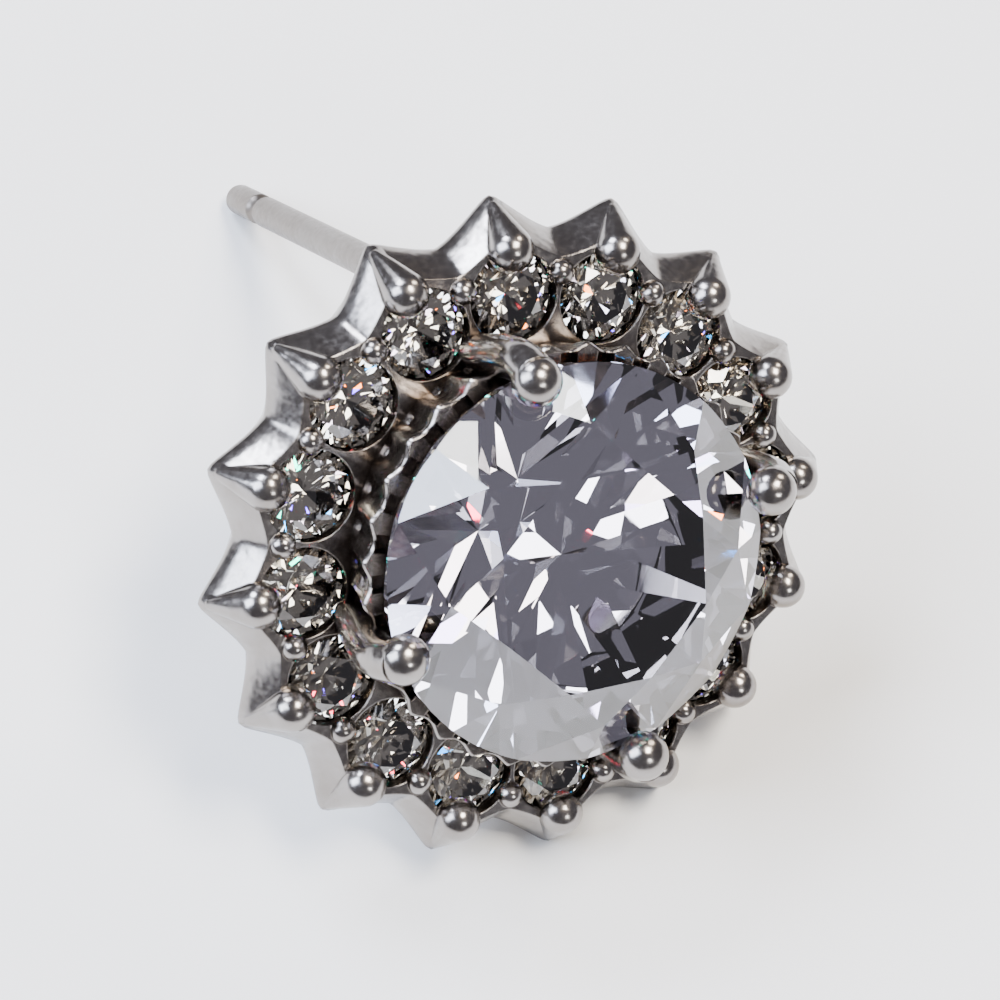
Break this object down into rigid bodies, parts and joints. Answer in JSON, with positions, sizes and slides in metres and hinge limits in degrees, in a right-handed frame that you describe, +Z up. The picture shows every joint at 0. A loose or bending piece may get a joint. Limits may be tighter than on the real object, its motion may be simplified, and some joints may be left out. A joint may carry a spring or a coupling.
{
  "type": "halo stud earring",
  "caption": "Stud earring: large round stone in a four-prong head with a fluted collar, ringed by a pointed halo of small round stones; straight ear post.",
  "frame": {"origin": "on the surface that the unworn stud rests on, under the middle of its box", "axes": "+Z up; the face leans back and looks towards -Y and up; the ear post runs back and down towards +Y; X is the mirror direction"},
  "size_m": [0.0134, 0.018, 0.0106],
  "materials": {
    "silver": "polished cast silver, rhodium plated",
    "main_crystal": "clear cubic zirconia, faceted and polished",
    "small_crystal": "clear cubic zirconia, faceted and polished"
  },
  "bodies": {
    "root": {"setting": "silver", "centre_stone": "main_crystal", "halo_stone_01": "small_crystal", "halo_stone_02": "small_crystal", "halo_stone_03": "small_crystal", "halo_stone_04": "small_crystal", "halo_stone_05": "small_crystal", "halo_stone_06": "small_crystal", "halo_stone_07": "small_crystal", "halo_stone_08": "small_crystal", "halo_stone_09": "small_crystal", "halo_stone_10": "small_crystal", "halo_stone_11": "small_crystal", "halo_stone_12": "small_crystal", "halo_stone_13": "small_crystal", "halo_stone_14": "small_crystal", "halo_stone_15": "small_crystal", "halo_stone_16": "small_crystal"}
  },
  "joints": []
}
